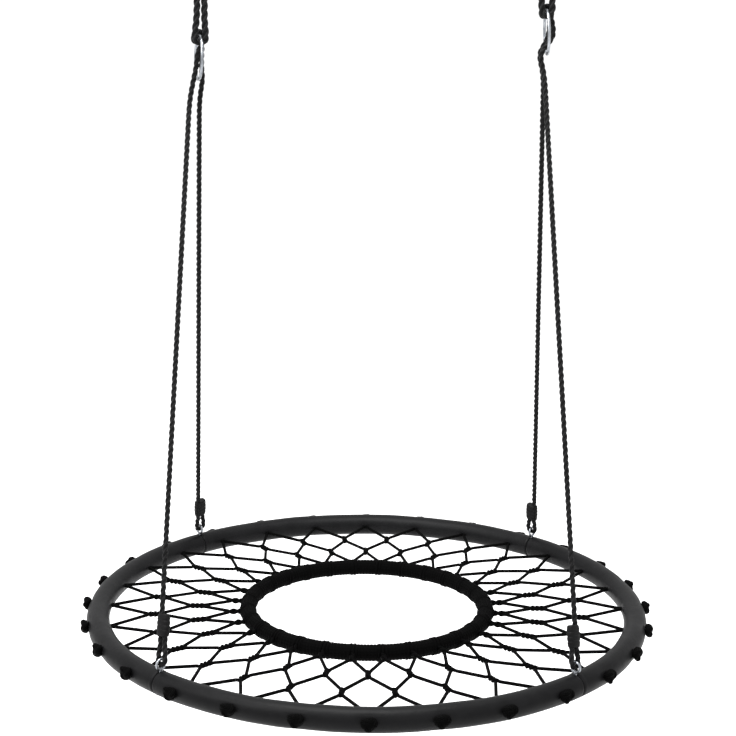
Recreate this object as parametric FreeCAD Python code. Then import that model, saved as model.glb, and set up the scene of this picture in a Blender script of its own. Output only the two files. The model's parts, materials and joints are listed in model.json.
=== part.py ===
"""Round web swing: a padded hoop with a woven net and an open centre, hung from two swing hangers.

Millimetres. Z is up, X runs from the left hanger to the right one, and the front is towards -Y.
The origin is on the beam's underside, midway between the two hangers.
"""

import FreeCAD, Part
import os
from math import atan2, cos, degrees, hypot, pi, radians, sin, sqrt, tan

os.makedirs("parts", exist_ok=True)

V = FreeCAD.Vector
X, Y, Z = V(1, 0, 0), V(0, 1, 0), V(0, 0, 1)
ORIGIN = V(0, 0, 0)

# ---------------------------------------------------------------- driving dimensions

HOOP_OUTER_R = 508.0        # outside of the padded hoop, a 40 inch seat
HANG_DROP = 1325.0          # beam face down to the hoop's centre plane
HANGER_X = 286.0            # each hanger from the middle of the beam
RING_STEP = 49.0            # how much lower the left ring hangs than the right one

TUBE_R = 12.5               # steel hoop tube
TUBE_WALL = 1.5
FOAM_T = 7.5                # foam sleeve on the tube
COVER_T = 1.0               # vinyl cover on the foam
SLEEVE_GAP = 1.5            # between two sleeves, where a rope eye stands

ANCHORS = 28                # cord holes round the hoop
CORD_R = 3.0                # one strand of the net
STEM_R = 4.4                # the two strands side by side through the hoop
STOP_KNOT_R = 12.0          # stopper knot outside the hoop
STOP_KNOT_L = 14.0
STOP_KNOT_SINK = 3.0        # how far the knot presses into the cover
KNOT_R = 6.0                # crossing of two strands
KNOT_L = 24.0
OUTER_ROW_SHARE = 0.664     # the two rows of knots, as shares of the way from the centre ring
INNER_ROW_SHARE = 0.345     # to the hoop
CENTRE_RING_R = 217.5       # middle of the centre ring's section
CENTRE_CORE_R = 9.0
CENTRE_WRAP_T = 5.5
CENTRE_KNOT_L = 20.0

ROPE_R = 4.75               # hanging ropes
EYE_ANGLE = 46.0            # rope eyes round the hoop, from the left and right
EYE_R = 8.5                 # middle of the eye's wire
EYE_WIRE_R = 2.25
EYE_SHANK_R = 3.0
EYE_BEARING = 16.0          # where the rope bears on the eye, round from its top towards the middle
EYE_RISE = 32.0             # eye's middle above the hoop's centre plane
CLAMP_H = 37.0
CLAMP_SKIN = 3.0            # clamp's wall at its front and back, and at its narrow ends
CLAMP_WALL = 2.6
CLAMP_UP = {                # each clamp's middle above its eye, as the ropes are set
    "left_front": 55.0, "right_front": 42.0,
    "left_back": 46.0, "right_back": 41.0,
}

RING_R = 37.0               # middle of the round ring's wire
RING_WIRE_R = 2.5
LEFT_RING_TURN = 14.0       # the left ring hangs turned about its rope
SLING_R = 6.0
SLING_L = 105.0             # right sling, from hook wire to ring wire
SLING_CLAMP_H = 32.0
SLING_AROUND = -16.0        # where the sling sits round the ring, from the ring's top
BELOW_RING_X = {            # where each rope runs straight from, beside the ring's middle
    "left_front": -9.0, "right_front": -9.0,
    "left_back": 6.0, "right_back": -9.0,
}
INSIDE_RING = {             # each rope's points inside its ring, y from beside the other rope
    "left_front": [(-3.0, -2.5, 8.0), (-4.5, 0.0, -15.0), (-9.0, 1.8, -37.0)],
    "left_back": [(5.5, 0.0, -4.0), (6.5, 0.6, -21.0), (9.0, 1.8, -37.0)],
    "right_front": [(12.5, 0.0, -4.0), (0.0, 0.0, -21.0), (-13.5, 1.8, -37.0)],
    "right_back": [(4.5, 0.0, -4.0), (-4.0, 0.0, -21.0), (-13.5, 1.8, -37.0)],
}
HITCH_AROUND = (12.0, 34.0)
HITCH_WRAP = 240.0

HOOK_WIRE_R = 4.5           # snap hook
HOOK_BEND_R = 12.0
HOOK_SIDE_L = 50.0
GATE_L = 34.0
GATE_R = 3.8
KNUCKLE_W = 6.6
GATE_PIN_R = 1.5

PLATE_L, PLATE_W, PLATE_T = 112.0, 42.0, 6.0
BOLT_HOLE_R = 5.5
BOLT_SPACING = 84.0
EAR_T = 5.0
EAR_R = 13.0
EAR_GAP = 26.0
PIVOT_DOWN = 32.0           # swing axis below the beam face
PIVOT_R = 5.0
BUSH_R = 8.0
HUB_R = 13.5
HANG_EYE_DOWN = 34.0        # hanger eye's middle below the swing axis
HANG_EYE_R = 15.0
HANG_EYE_WIRE_R = 5.0

# ---------------------------------------------------------------- clearances

RUN_FIT = 0.06              # radial, a part that turns on another
CORD_FIT = 0.1              # radial, a cord in its hole
SIDE_GAP = 0.5              # beside a part that turns
LINK_GAP = 0.8              # hook wire above the eye that carries it
LOOP_GAP = 1.0              # rope loop round a rope eye
ROPE_GAP = 0.5              # between the two ropes inside a ring
TOUCH = 0.3                 # rope beside a wire it bears on
TURN_ROOM = 0.8             # more, where the left sling crosses the hook turned
STRAND_ROOM = 0.35          # between a clamp's strands and its middle

# ---------------------------------------------------------------- sizes that follow

FOAM_R = TUBE_R + FOAM_T
COVER_R = FOAM_R + COVER_T
HOOP_R = HOOP_OUTER_R - COVER_R
HOOP_Z = -HANG_DROP
CENTRE_WRAP_R = CENTRE_CORE_R + CENTRE_WRAP_T
STEP = 360.0 / ANCHORS
EYE_Z = HOOP_Z + EYE_RISE
BEARING_R = HOOP_R - EYE_R * sin(radians(EYE_BEARING))
SEAT_PIVOT_Z = EYE_Z + EYE_R * cos(radians(EYE_BEARING))
SEAT_PIVOT_X = BEARING_R * cos(radians(EYE_ANGLE))
SEAT_PIVOT_Y = BEARING_R * sin(radians(EYE_ANGLE))
SWING_Z = -PIVOT_DOWN
SWAY_Z = SWING_Z - HANG_EYE_DOWN - HANG_EYE_R + HANG_EYE_WIRE_R + HOOK_WIRE_R + LINK_GAP
LINK_L = hypot(SEAT_PIVOT_X - HANGER_X, SWAY_Z - SEAT_PIVOT_Z)
LEAN = degrees(atan2(SEAT_PIVOT_X - HANGER_X, SWAY_Z - SEAT_PIVOT_Z))
HOOK_LOW = -2 * HOOK_BEND_R - HOOK_SIDE_L          # hook's lower wire, in the link's frame
LOOP_R = EYE_WIRE_R + ROPE_R + LOOP_GAP
STRAND = ROPE_R + STRAND_ROOM                      # each strand from the middle of a clamp
SLING_STRAND = SLING_R + STRAND_ROOM
HITCH_R = RING_WIRE_R + ROPE_R + TOUCH
SLING_LOW_R = RING_WIRE_R + SLING_R + 2 * TOUCH
SLING_TOP_R = HOOK_WIRE_R + SLING_R + TOUCH + TURN_ROOM


# ---------------------------------------------------------------- helpers

def save(name, shape):
    """Write one node, a solid or a group of separate solids."""
    shape.exportStep("parts/%s.step" % name)


def cylinder(radius, start, end):
    return Part.makeCylinder(radius, (end - start).Length, start, end - start)


def turned(shape, angle, axis=Z, centre=ORIGIN):
    copy = shape.copy()
    copy.rotate(centre, axis, angle)
    return copy


def moved(shape, offset):
    copy = shape.copy()
    copy.translate(offset)
    return copy


def around(shapes, angles):
    """Copies of some shapes turned about the Z axis, as separate solids."""
    return Part.makeCompound([turned(shape, angle) for angle in angles for shape in shapes])


def torus(big, small, centre=ORIGIN, axis=Z):
    return Part.makeTorus(big, small, centre, axis)


def torus_arc(big, small, start, sweep):
    """Part of a torus about Z: a round bar that runs from angle start through sweep degrees."""
    disc = Part.Face(Part.Wire(Part.makeCircle(small, V(big, 0, 0), Y)))
    return turned(disc.revolve(ORIGIN, Z, sweep), start)


def rounded_path(points, radii):
    """A wire of straight runs with a tangent arc at each inner point."""
    edges = []
    here = points[0]
    for i, radius in enumerate(radii, start=1):
        corner = points[i]
        back = (points[i - 1] - corner).normalize()
        ahead = (points[i + 1] - corner).normalize()
        half_turn = (pi - back.getAngle(ahead)) / 2
        reach = radius * tan(half_turn)
        middle = (back + ahead).normalize()
        first = corner + back * reach
        last = corner + ahead * reach
        top = corner + middle * (radius / cos(half_turn) - radius)
        if (first - here).Length > 1e-4:
            edges.append(Part.makeLine(here, first))
        edges.append(Part.Arc(first, top, last).toShape())
        here = last
    if (points[-1] - here).Length > 1e-4:
        edges.append(Part.makeLine(here, points[-1]))
    return Part.Wire(edges)


def rope(name, radius, points, radii):
    """A round rope along a path. Prints its length and its bends, and tests its volume."""
    path = rounded_path(points, radii)
    start = path.Edges[0]
    ring = Part.Wire(Part.makeCircle(radius, start.Vertexes[0].Point, points[1] - points[0]))
    solid = path.makePipeShell([ring], True, False)
    ideal = pi * radius * radius * path.Length
    print("%-18s length %7.1f  bends %s  volume/ideal %.4f"
          % (name, path.Length, [round(r, 1) for r in radii], solid.Volume / ideal))
    return solid


def link_frame(side):
    """Placement of everything that hangs on one side, from the frame of its sway axis."""
    turn = FreeCAD.Rotation(Y, -side * LEAN)
    return FreeCAD.Placement(V(side * HANGER_X, 0, SWAY_Z), turn)


def place(shape, placement):
    copy = shape.copy()
    copy.Placement = placement.multiply(copy.Placement)
    return copy


# ---------------------------------------------------------------- swing hangers

def hanger_bracket():
    """A bolted plate with two ears that carry the swing axis, at x = 0."""
    plate = Part.makeBox(PLATE_L, PLATE_W, PLATE_T, V(-PLATE_L / 2, -PLATE_W / 2, -PLATE_T))
    corners = [e for e in plate.Edges if abs(e.tangentAt(e.FirstParameter).z) > 0.99]
    plate = plate.makeFillet(8.0, corners)
    shape = plate
    for side in (-1, 1):
        near = side * EAR_GAP / 2
        ear = Part.makeCylinder(EAR_R, EAR_T, V(near, 0, SWING_Z), X * side)
        low = min(near, near + side * EAR_T)
        web = Part.makeBox(EAR_T, 2 * EAR_R, PIVOT_DOWN - PLATE_T + 1, V(low, -EAR_R, SWING_Z))
        shape = shape.fuse([ear, web])
    shape = shape.removeSplitter()
    for side in (-1, 1):
        at = V(side * BOLT_SPACING / 2, 0, -PLATE_T - 1)
        shape = shape.cut(Part.makeCylinder(BOLT_HOLE_R, PLATE_T + 2, at, Z))
    bolt_way = Part.makeCylinder(PIVOT_R + RUN_FIT, 200, V(-100, 0, SWING_Z), X)
    return shape.cut(bolt_way)


def hexagon(across, thick, at, axis):
    """A hexagonal prism with its flats facing up and down."""
    corner = across / sqrt(3)
    side = axis.cross(Y)
    ring = [at + Y * corner * cos(radians(60 * i)) + side * corner * sin(radians(60 * i))
            for i in range(6)]
    face = Part.Face(Part.makePolygon(ring + ring[:1]))
    return face.extrude(axis * thick)


HEAD_ACROSS, HEAD_T, NUT_T = 17.0, 6.4, 8.0
EAR_OUT = EAR_GAP / 2 + EAR_T


def pivot_bolt():
    head = hexagon(HEAD_ACROSS, HEAD_T, V(EAR_OUT, 0, SWING_Z), X)
    length = 2 * EAR_OUT + NUT_T + 2
    shank = Part.makeCylinder(PIVOT_R, length + 1, V(EAR_OUT + 1, 0, SWING_Z), -X)
    return head.fuse(shank).removeSplitter()


def pivot_nut():
    nut = hexagon(HEAD_ACROSS, NUT_T, V(-EAR_OUT, 0, SWING_Z), -X)
    return nut.cut(Part.makeCylinder(PIVOT_R, 40, V(-EAR_OUT + 5, 0, SWING_Z), -X))


def pivot_bush():
    """Nylon sleeve on the bolt, between the ears."""
    start = V(-EAR_GAP / 2, 0, SWING_Z)
    sleeve = Part.makeCylinder(BUSH_R, EAR_GAP, start, X)
    return sleeve.cut(Part.makeCylinder(PIVOT_R + RUN_FIT, EAR_GAP, start, X))


def hanger_eye():
    """Forged hub that turns on the bush, with the closed eye that the hook hangs in."""
    half = EAR_GAP / 2 - SIDE_GAP
    hub = Part.makeCylinder(HUB_R, 2 * half, V(-half, 0, SWING_Z), X)
    middle = V(0, 0, SWING_Z - HANG_EYE_DOWN)
    eye = torus(HANG_EYE_R, HANG_EYE_WIRE_R, middle, Y)
    neck_top = V(0, 0, SWING_Z - HUB_R + 4)
    neck = cylinder(HANG_EYE_WIRE_R + 1.5, neck_top, middle + Z * HANG_EYE_R)
    shape = hub.fuse([neck, eye]).removeSplitter()
    return shape.cut(Part.makeCylinder(BUSH_R + RUN_FIT, 60, V(-30, 0, SWING_Z), X))


# ---------------------------------------------------------------- snap hook, in the link's frame

GATE_TOP = -HOOK_BEND_R - 6.0
GATE_FOOT = GATE_TOP - GATE_L
GATE_Y = -HOOK_BEND_R
GATE_END_GAP = 0.6


def hook_body():
    """Oval bar in the YZ plane, whose top wire lies in the hanger eye."""
    oval = [V(0, 0, 0), V(0, HOOK_BEND_R, 0), V(0, HOOK_BEND_R, HOOK_LOW),
            V(0, -HOOK_BEND_R, HOOK_LOW), V(0, -HOOK_BEND_R, 0), V(0, 0, 0)]
    body = rope("hook", HOOK_WIRE_R, oval, [HOOK_BEND_R] * 4)
    window_low = V(-10, GATE_Y - 10, GATE_FOOT - 5)
    window = Part.makeBox(20, 20, GATE_L + 5, window_low)
    body = body.cut(window)
    cheeks = Part.makeBox(2 * HOOK_WIRE_R + 3, 9, 12, V(-HOOK_WIRE_R - 1.5, GATE_Y - 4.5, GATE_FOOT - 8))
    slot_half = KNUCKLE_W / 2 + TOUCH
    slot = Part.makeBox(2 * slot_half, 9.2, 9, V(-slot_half, GATE_Y - 4.6, GATE_FOOT - 5))
    body = body.fuse(cheeks).cut(slot).removeSplitter()
    pin_way = Part.makeCylinder(GATE_PIN_R, 30, V(-15, GATE_Y, GATE_FOOT), X)
    return body.cut(pin_way)


def hook_gate():
    """Sprung bar that closes the hook, with a knuckle on the pin."""
    top = V(0, GATE_Y, GATE_TOP - GATE_END_GAP)
    bar = cylinder(GATE_R, V(0, GATE_Y, GATE_FOOT), top)
    knuckle = Part.makeCylinder(GATE_R, KNUCKLE_W, V(-KNUCKLE_W / 2, GATE_Y, GATE_FOOT), X)
    flats = Part.makeBox(KNUCKLE_W, 30, 2 * GATE_L, V(-KNUCKLE_W / 2, GATE_Y - 15, GATE_FOOT - GATE_L / 2))
    gate = bar.fuse(knuckle).common(flats)
    return gate.cut(Part.makeCylinder(GATE_PIN_R + RUN_FIT, 30, V(-15, GATE_Y, GATE_FOOT), X))


def gate_pin():
    half = HOOK_WIRE_R + 1.5
    return Part.makeCylinder(GATE_PIN_R, 2 * half, V(-half, GATE_Y, GATE_FOOT), X)


# ---------------------------------------------------------------- slings, rings and ropes

def clamp_barrel(strand, radius, height):
    """Moulded clamp with two strand holes along Z, side by side along X, centred at the origin."""
    thick = radius + CLAMP_SKIN
    side = strand + radius + CLAMP_WALL - thick
    block = Part.makeBox(2 * side, 2 * thick, height, V(-side, -thick, -height / 2))
    ends = [Part.makeCylinder(thick, height, V(s * side, 0, -height / 2)) for s in (-1, 1)]
    barrel = block.fuse(ends).removeSplitter()
    rims = [e for e in barrel.Edges if abs(abs(e.CenterOfMass.z) - height / 2) < 0.01]
    barrel = barrel.makeFillet(1.0, rims)
    for s in (-1, 1):
        way = Part.makeCylinder(radius + 0.02, height + 2, V(s * strand, 0, -height / 2 - 1))
        barrel = barrel.cut(way)
    return barrel


def ring_frame(side):
    """Middle of a side's ring, in the link's frame, and how far it is turned."""
    extra = RING_STEP if side < 0 else 0.0
    turn = LEFT_RING_TURN if side < 0 else 0.0
    middle = V(0, 0, HOOK_LOW - SLING_L - extra - RING_R)
    return FreeCAD.Placement(middle, FreeCAD.Rotation(Z, turn))


def round_ring():
    return torus(RING_R, RING_WIRE_R, ORIGIN, X)


SLING_CLAMP_DROP = 45.0     # sling clamp's middle below the hook's lower wire


def sling(side):
    """Rope loop from the hook's lower wire to the ring's top wire, with both ends in the clamp."""
    frame = ring_frame(side)
    to_ring = frame.inverse()
    top = to_ring.multVec(V(0, 0, HOOK_LOW))
    clamp = top - Z * SLING_CLAMP_DROP
    low = turned(Part.Vertex(V(0, 0, RING_R)), SLING_AROUND, -X).Point
    crown = top.z + SLING_TOP_R
    keel = low.z - SLING_LOW_R
    pinch_up = clamp.z + SLING_CLAMP_H / 2 + 2
    pinch_low = clamp.z - SLING_CLAMP_H / 2 - 2
    part_low = low.z + (9.0 if side < 0 else 30.0)
    lean = low.y / (clamp.z - low.z)

    def at(x, z):
        drop = max(0.0, clamp.z - SLING_CLAMP_H / 2 - z)
        return V(x, drop * lean, z)

    open_up = [V(SLING_TOP_R, 0, crown), V(SLING_TOP_R, 0, top.z - 6)]
    points = [V(-SLING_STRAND, 0, clamp.z + 0.3), V(-SLING_STRAND, 0, pinch_up),
              V(-SLING_TOP_R, 0, top.z - 6), V(-SLING_TOP_R, 0, crown)]
    points += open_up
    points += [V(SLING_STRAND, 0, pinch_up), V(SLING_STRAND, 0, pinch_low)]
    if side < 0:
        points.append(at(SLING_STRAND, part_low + 20))
    points += [at(SLING_LOW_R, part_low), at(SLING_LOW_R, keel), at(-SLING_LOW_R, keel)]
    points.append(at(-SLING_LOW_R, part_low))
    if side < 0:
        points.append(at(-SLING_STRAND, part_low + 20))
    points += [V(-SLING_STRAND, 0, pinch_low), V(-SLING_STRAND, 0, clamp.z - 0.3)]
    opening = [14, 14, 14] if side < 0 else [14, 14]
    bends = [12, 12, SLING_TOP_R, SLING_TOP_R, 12, 12]
    bends += opening + [SLING_LOW_R, SLING_LOW_R] + opening
    name = "right_sling" if side > 0 else "left_sling"
    body = rope(name, SLING_R, points, bends)
    barrel = moved(clamp_barrel(SLING_STRAND, SLING_R, SLING_CLAMP_H), clamp)
    return place(body, frame), place(barrel, frame)


def ring_hitch():
    """Lark's head on the ring's top wire: two turns joined by a bar, in the ring's frame."""
    pieces = []
    ends = []
    for angle in HITCH_AROUND:
        turn = torus_arc(HITCH_R, ROPE_R, 0, HITCH_WRAP)
        turn = turned(turn, 90, X)
        turn = moved(turn, V(0, 0, RING_R))
        pieces.append(turned(turn, -angle, X))
        end = V(HITCH_R * cos(radians(HITCH_WRAP)), 0, RING_R + HITCH_R * sin(radians(HITCH_WRAP)))
        ends.append(turned(Part.Vertex(end), -angle, X).Point)
    pieces.append(cylinder(ROPE_R, ends[0], ends[1]))
    pieces += [Part.makeSphere(ROPE_R, end) for end in ends]
    return pieces[0].fuse(pieces[1:]).removeSplitter()


def seat_rope(side, end):
    """One hanging rope: from its turn on the ring, down through the ring, to the loop in its eye.

    end is -1 for the front rope and 1 for the back one. Its clamp comes with it.
    """
    frame = ring_frame(side)
    turn_at = HITCH_AROUND[0] if end < 0 else HITCH_AROUND[1]
    inward = V(0, -sin(radians(turn_at)), -cos(radians(turn_at)))
    start = inward * -RING_R + X * HITCH_R
    corner = ("left" if side < 0 else "right") + ("_front" if end < 0 else "_back")
    beside = ROPE_R + ROPE_GAP / 2
    inside = [start, start + inward * 8]
    inside += [V(x, (beside + y) * end, z) for x, y, z in INSIDE_RING[corner]]
    inside = [frame.multVec(p) for p in inside]
    eye = V(0, end * SEAT_PIVOT_Y, -LINK_L)
    aim = frame.Base + V(BELOW_RING_X[corner], 12.0 * end, -RING_R - 34.0)
    up = (aim - eye).normalize()
    along_hoop = link_frame(side).Rotation.inverted().multVec(V(-side * end * SEAT_PIVOT_Y, SEAT_PIVOT_X, 0))
    across = (along_hoop - up * along_hoop.dot(up)).normalize() * end
    clamp_up = CLAMP_UP[corner]
    low = clamp_up - CLAMP_H / 2 - 2

    def at(sideways, height):
        return eye + across * sideways + up * height

    top = (aim - eye).Length
    part_up = min(low, LOOP_R + 12)
    loop = [at(-STRAND, top), at(-STRAND, part_up), at(-LOOP_R, LOOP_R), at(-LOOP_R, -LOOP_R),
            at(LOOP_R, -LOOP_R), at(LOOP_R, LOOP_R), at(STRAND, part_up),
            at(STRAND, clamp_up + CLAMP_H / 2 - 4)]
    bends = [14, 14, 12, 12, 25, 12, 12, LOOP_R, LOOP_R, 12, 12]
    name = corner + "_rope"
    body = rope(name, ROPE_R, inside + loop, bends)
    turn = FreeCAD.Rotation(across, up.cross(across), up, "ZXY")
    barrel = place(clamp_barrel(STRAND, ROPE_R, CLAMP_H), FreeCAD.Placement(at(0, clamp_up), turn))
    return name, body, barrel


# ---------------------------------------------------------------- hoop

def hoop_frame(shape):
    return moved(shape, V(0, 0, HOOP_Z))


def anchor_ways(radius):
    """Radial cutters for the cord holes, through the hoop's section."""
    way = Part.makeCylinder(radius, 2 * COVER_R + 20, V(0, -HOOP_R + COVER_R + 10, 0), -Y)
    return [turned(way, STEP * k) for k in range(ANCHORS)]


def eye_angles():
    return [EYE_ANGLE, 180 - EYE_ANGLE, 180 + EYE_ANGLE, -EYE_ANGLE]


def shank_ways(radius):
    """Upright cutters for the eyes' shanks, from the hoop's centre plane up."""
    way = Part.makeCylinder(radius, COVER_R + 10, V(HOOP_R, 0, 0))
    return [turned(way, angle) for angle in eye_angles()]


def hoop_tube():
    solid = torus(HOOP_R, TUBE_R).cut(torus(HOOP_R, TUBE_R - TUBE_WALL))
    return solid.cut(anchor_ways(STEM_R + CORD_FIT) + shank_ways(EYE_SHANK_R))


def sleeve(inner, outer, number):
    """One quarter of a sleeve on the hoop, between two eyes, with its cord holes.

    Its ends have half a hole each for the shanks of the eyes.
    """
    gap = degrees(SLEEVE_GAP / 2 / HOOP_R)
    start = eye_angles()[number - 1] + gap
    sweep = (eye_angles()[number] - eye_angles()[number - 1]) % 360 - 2 * gap
    quarter = torus_arc(HOOP_R, outer, start, sweep).cut(torus_arc(HOOP_R, inner, start, sweep))
    return quarter.cut(anchor_ways(STEM_R + CORD_FIT) + shank_ways(EYE_SHANK_R + CORD_FIT))


def rope_eye():
    """Steel eye screwed through the top of the hoop tube, standing at angle 0."""
    wire = torus(EYE_R, EYE_WIRE_R, V(HOOP_R, 0, EYE_RISE), Y)
    foot = TUBE_R - TUBE_WALL - 3
    shank = Part.makeCylinder(EYE_SHANK_R, EYE_RISE - EYE_R - foot, V(HOOP_R, 0, foot))
    return wire.fuse(shank).removeSplitter()


# ---------------------------------------------------------------- net

def polar(radius, steps):
    """A point in the hoop's plane; steps are anchor spacings from the front."""
    angle = radians(-90 + STEP * steps)
    return V(radius * cos(angle), radius * sin(angle), 0)


CENTRE_FACE_R = CENTRE_RING_R + CENTRE_WRAP_R
CENTRE_KNOT_R = CENTRE_FACE_R + CENTRE_KNOT_L
STEM_IN = HOOP_R - COVER_R - 2.0
WEB_W = STEM_IN - CENTRE_FACE_R
OUTER_ROW_R = CENTRE_FACE_R + OUTER_ROW_SHARE * WEB_W
INNER_ROW_R = CENTRE_FACE_R + INNER_ROW_SHARE * WEB_W


def knot(radius, steps):
    """Two strands crossing: a short thick bar that points at the middle."""
    a = polar(radius - KNOT_L / 2 + KNOT_R, steps)
    b = polar(radius + KNOT_L / 2 - KNOT_R, steps)
    ends = [Part.makeSphere(KNOT_R, a), Part.makeSphere(KNOT_R, b)]
    return cylinder(KNOT_R, a, b).fuse(ends).removeSplitter()


def centre_knot(steps):
    """The strands' lashing on the centre ring, ending on the ring's wrap."""
    a = polar(CENTRE_RING_R, steps)
    b = polar(CENTRE_KNOT_R - KNOT_R, steps)
    bar = cylinder(KNOT_R, a, b).fuse(Part.makeSphere(KNOT_R, b)).removeSplitter()
    return bar.cut(torus(CENTRE_RING_R, CENTRE_WRAP_R))


def vee(apex, feet, blockers):
    """Two strands that leave one point, the second trimmed to the first, both to the knots they meet."""
    arms = [cylinder(CORD_R, apex, foot) for foot in feet]
    arms[1] = arms[1].cut(arms[0])
    return [arm.cut(blockers) for arm in arms]


def anchor():
    """Doubled strand through the hoop, with its stopper knot outside, at the front."""
    stem_in = polar(STEM_IN, 0)
    face = polar(HOOP_OUTER_R, 0)
    stem = cylinder(STEM_R, stem_in, polar(HOOP_OUTER_R + 4, 0))
    ball = Part.makeSphere(STOP_KNOT_R, ORIGIN)
    squash = FreeCAD.Matrix()
    squash.scale(1, STOP_KNOT_L / 2 / STOP_KNOT_R, 1)
    ball = moved(ball.transformGeometry(squash), face - Y * (STOP_KNOT_L / 2 - STOP_KNOT_SINK))
    ball = ball.cut(torus(HOOP_R, COVER_R))
    return ball.fuse(stem)


def net():
    """The strands in three rows, and the knots between them."""
    outer = [knot(OUTER_ROW_R, s) for s in (-0.5, 0.5)]
    inner = knot(INNER_ROW_R, 0)
    inner_beside = [knot(INNER_ROW_R, s) for s in (0, 1)]
    centre = [centre_knot(s) for s in (-0.5, 0.5)]
    stem = cylinder(STEM_R, polar(STEM_IN, 0), polar(HOOP_R, 0))
    start = polar(STEM_IN + CORD_R, 0)
    row_one = vee(start, [polar(OUTER_ROW_R + 8, s) for s in (-0.5, 0.5)], outer + [stem])
    mid_apex = polar(OUTER_ROW_R - 8, 0.5)
    row_two = vee(mid_apex, [polar(INNER_ROW_R + 8, s) for s in (0, 1)], inner_beside + [outer[1]])
    low_apex = polar(INNER_ROW_R - 8, 0)
    row_three = vee(low_apex, [polar(CENTRE_KNOT_R - 6, s) for s in (-0.5, 0.5)], centre + [inner])
    return row_one, row_two, row_three, outer[1], inner, centre[1]


# ---------------------------------------------------------------- build

def build_hangers():
    for side, word in ((-1, "left"), (1, "right")):
        at = V(side * HANGER_X, 0, 0)
        save(word + "_hanger_bracket", moved(hanger_bracket(), at))
        save(word + "_pivot_bolt", moved(pivot_bolt(), at))
        save(word + "_pivot_nut", moved(pivot_nut(), at))
        save(word + "_pivot_bush", moved(pivot_bush(), at))
        save(word + "_hanger_eye", moved(hanger_eye(), at))


def build_links():
    for side, word in ((-1, "left"), (1, "right")):
        link = link_frame(side)
        ring = ring_frame(side)
        loop, barrel = sling(side)
        save(word + "_snap_hook", place(hook_body(), link))
        save(word + "_hook_gate", place(hook_gate(), link))
        save(word + "_gate_pin", place(gate_pin(), link))
        save(word + "_sling", place(loop, link))
        save(word + "_sling_clamp", place(barrel, link))
        save(word + "_ring", place(place(round_ring(), ring), link))
        save(word + "_ring_hitch", place(place(ring_hitch(), ring), link))
        for end in (-1, 1):
            name, body, clamp = seat_rope(side, end)
            save(name, place(body, link))
            save(name.replace("rope", "clamp"), place(clamp, link))


def build_hoop():
    save("hoop_tube", hoop_frame(hoop_tube()))
    places = ("right", "back", "left", "front")
    for number, word in enumerate(places):
        save(word + "_foam", hoop_frame(sleeve(TUBE_R, FOAM_R, number)))
        save(word + "_cover", hoop_frame(sleeve(FOAM_R, COVER_R, number)))
    corners = ("right_back", "left_back", "left_front", "right_front")
    for angle, word in zip(eye_angles(), corners):
        save(word + "_rope_eye", hoop_frame(turned(rope_eye(), angle)))


def build_net():
    turns = [STEP * k for k in range(ANCHORS)]
    row_one, row_two, row_three, outer, inner, centre = net()
    save("net_outer_strands", hoop_frame(around(row_one, turns)))
    save("net_middle_strands", hoop_frame(around(row_two, turns)))
    save("net_inner_strands", hoop_frame(around(row_three, turns)))
    save("net_outer_knots", hoop_frame(around([outer], turns)))
    save("net_inner_knots", hoop_frame(around([inner], turns)))
    save("net_centre_knots", hoop_frame(around([centre], turns)))
    save("net_anchors", hoop_frame(around([anchor()], turns)))
    save("centre_ring_core", hoop_frame(torus(CENTRE_RING_R, CENTRE_CORE_R)))
    halves = [torus_arc(CENTRE_RING_R, CENTRE_WRAP_R, start, 180).cut(torus(CENTRE_RING_R, CENTRE_CORE_R))
              for start in (0, 180)]
    save("centre_ring_wrap", hoop_frame(Part.makeCompound(halves)))


build_hangers()
build_links()
build_hoop()
build_net()
print("sway axis z %.3f, seat axis x %.3f z %.3f, lean %.3f, ratio %.6f"
      % (SWAY_Z, SEAT_PIVOT_X, SEAT_PIVOT_Z, LEAN, 1 - (SEAT_PIVOT_X - HANGER_X) / SEAT_PIVOT_X))
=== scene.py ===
"""Looks of the round web swing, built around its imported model.

Metres. Z is up, X runs from the left hanger to the right one, and the front is towards -Y.
The origin is on the beam's underside, midway between the two hangers.
"""

import json
from math import atan2, ceil, cos, hypot, pi, radians, sin, tau

import bpy
import numpy as np
from mathutils import Matrix, Vector


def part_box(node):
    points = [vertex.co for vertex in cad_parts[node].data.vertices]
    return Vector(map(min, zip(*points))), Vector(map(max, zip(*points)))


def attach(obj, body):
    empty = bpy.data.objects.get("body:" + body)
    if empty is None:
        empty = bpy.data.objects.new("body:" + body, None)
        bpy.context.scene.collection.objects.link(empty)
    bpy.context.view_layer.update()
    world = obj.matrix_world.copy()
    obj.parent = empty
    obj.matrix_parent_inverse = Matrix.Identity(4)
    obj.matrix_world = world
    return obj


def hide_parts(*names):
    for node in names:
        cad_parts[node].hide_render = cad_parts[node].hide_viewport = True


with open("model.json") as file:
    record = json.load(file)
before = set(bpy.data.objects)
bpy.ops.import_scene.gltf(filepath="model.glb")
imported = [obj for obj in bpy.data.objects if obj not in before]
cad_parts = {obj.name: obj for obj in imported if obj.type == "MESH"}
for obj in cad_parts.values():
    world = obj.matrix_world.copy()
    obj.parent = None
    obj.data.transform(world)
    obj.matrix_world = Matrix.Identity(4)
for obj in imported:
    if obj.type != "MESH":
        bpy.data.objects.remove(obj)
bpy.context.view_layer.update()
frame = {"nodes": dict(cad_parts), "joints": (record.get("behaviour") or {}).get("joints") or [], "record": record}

MM = 0.001
X = Vector((1, 0, 0))
UP = np.array([0, 0, 1.0])

# ---------------------------------------------------------------- sizes, from the frame and by name

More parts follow.
